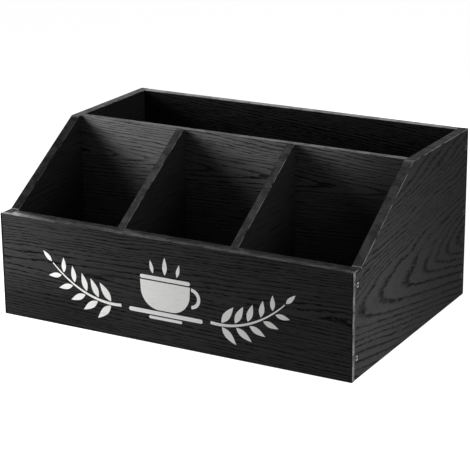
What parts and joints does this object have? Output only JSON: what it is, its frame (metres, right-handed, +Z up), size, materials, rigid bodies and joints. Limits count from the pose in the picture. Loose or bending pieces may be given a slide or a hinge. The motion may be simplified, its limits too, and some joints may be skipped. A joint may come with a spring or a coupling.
{
  "type": "coffee station organizer",
  "caption": "Open countertop organizer of thin dark-stained boards, with a low front, sloping sides, square front bays behind a face board and one long bay at the back.",
  "frame": {"origin": "middle of the footprint, on the surface that the organizer stands on", "axes": "+X to the right seen from the front, the front faces -Y, +Z up"},
  "size_m": [0.35, 0.243, 0.16],
  "materials": {
    "fascia_oak": "black stain on oak grain, satin, with a white painted ornament",
    "board_oak": "black stain on oak grain, satin",
    "side_oak": "black stain on oak grain with arched figure, satin",
    "divider_oak": "black stain on oak grain, satin",
    "bottom_oak": "black stain on oak grain, satin",
    "screw_steel": "bright zinc plated"
  },
  "bodies": {
    "root": {"fascia": "fascia_oak", "front_board": "board_oak", "side_left": "side_oak", "side_right": "side_oak", "back_panel": "board_oak", "bottom_panel": "bottom_oak", "partition": "board_oak", "divider_left": "divider_oak", "divider_right": "divider_oak", "front_screws": "screw_steel", "rear_screws": "screw_steel"}
  },
  "joints": []
}
